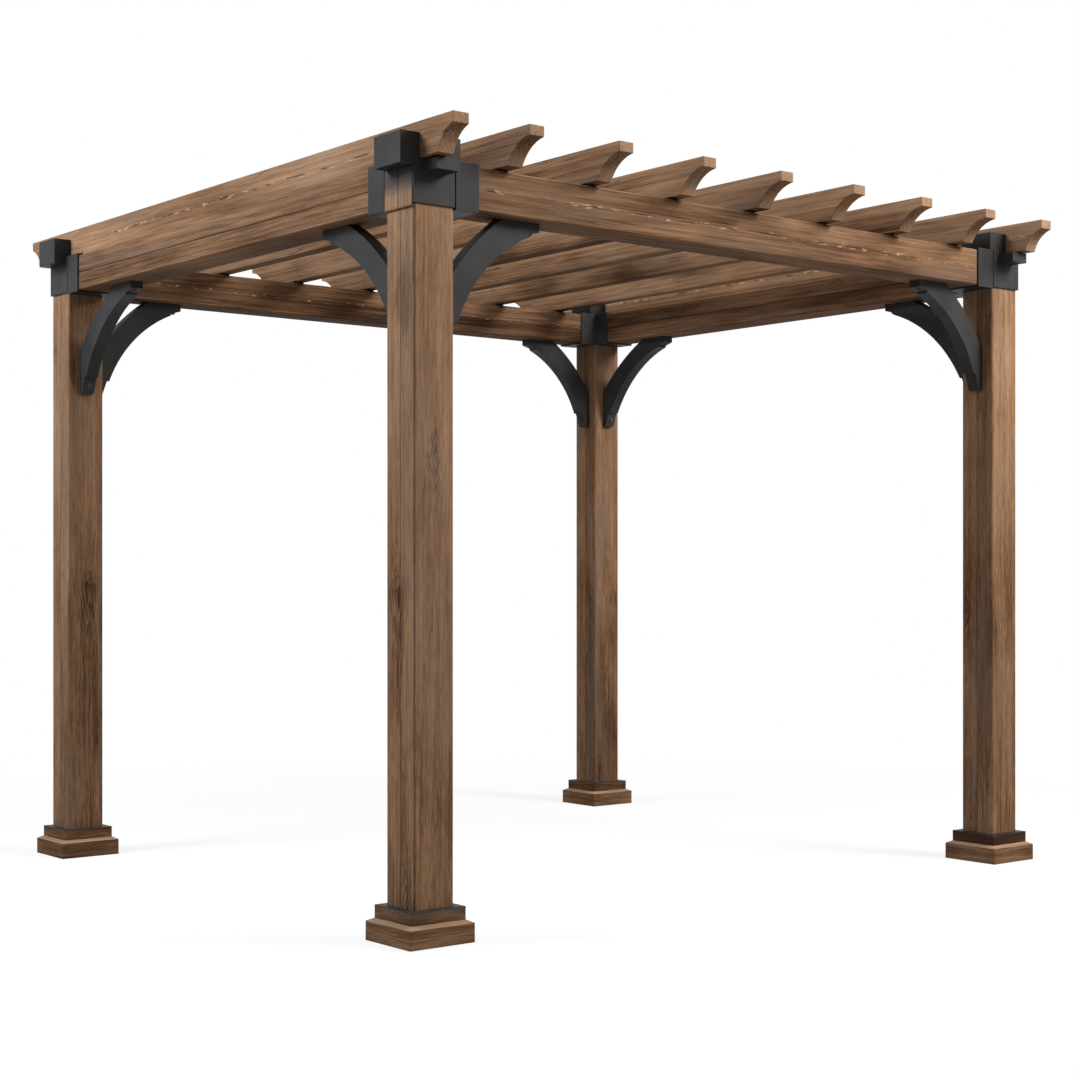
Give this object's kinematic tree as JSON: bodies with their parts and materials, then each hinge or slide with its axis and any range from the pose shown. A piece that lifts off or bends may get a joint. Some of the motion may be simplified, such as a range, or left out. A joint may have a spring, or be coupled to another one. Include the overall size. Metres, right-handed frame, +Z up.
{
  "type": "wooden pergola",
  "caption": "Free-standing wooden pergola: posts on base trim, beams, scroll-ended rafters, black steel corner brackets and arched knee braces",
  "frame": {"origin": "on the ground, under the middle of the roof; the middle of the four posts is 23.5 mm in front of it", "axes": "+X along the front beam to the right, +Y from the front to the back along the rafters, +Z up"},
  "size_m": [2.854, 2.793, 2.375],
  "materials": {
    "stained_wood": "brown stained softwood",
    "black_steel": "satin black powder coat"
  },
  "bodies": {
    "root": {"front_left_post": "stained_wood", "front_left_collar": "stained_wood", "front_left_plinth": "stained_wood", "front_left_base_plate": "black_steel", "front_left_corner_bracket": "black_steel", "front_left_rafter_saddle": "black_steel", "front_left_beam_brace": "black_steel", "front_left_side_brace": "black_steel", "front_right_post": "stained_wood", "front_right_collar": "stained_wood", "front_right_plinth": "stained_wood", "front_right_base_plate": "black_steel", "front_right_corner_bracket": "black_steel", "front_right_rafter_saddle": "black_steel", "front_right_beam_brace": "black_steel", "front_right_side_brace": "black_steel", "back_left_post": "stained_wood", "back_left_collar": "stained_wood", "back_left_plinth": "stained_wood", "back_left_base_plate": "black_steel", "back_left_corner_bracket": "black_steel", "back_left_rafter_saddle": "black_steel", "back_left_beam_brace": "black_steel", "back_left_side_brace": "black_steel", "back_right_post": "stained_wood", "back_right_collar": "stained_wood", "back_right_plinth": "stained_wood", "back_right_base_plate": "black_steel", "back_right_corner_bracket": "black_steel", "back_right_rafter_saddle": "black_steel", "back_right_beam_brace": "black_steel", "back_right_side_brace": "black_steel", "front_beam": "stained_wood", "back_beam": "stained_wood", "left_beam": "stained_wood", "right_beam": "stained_wood", "front_rafter_seats": "black_steel", "back_rafter_seats": "black_steel", "left_end_rafter": "stained_wood", "right_end_rafter": "stained_wood", "inner_rafter_1": "stained_wood", "inner_rafter_2": "stained_wood", "inner_rafter_3": "stained_wood", "inner_rafter_4": "stained_wood", "inner_rafter_5": "stained_wood", "inner_rafter_6": "stained_wood", "inner_rafter_7": "stained_wood"}
  },
  "joints": []
}
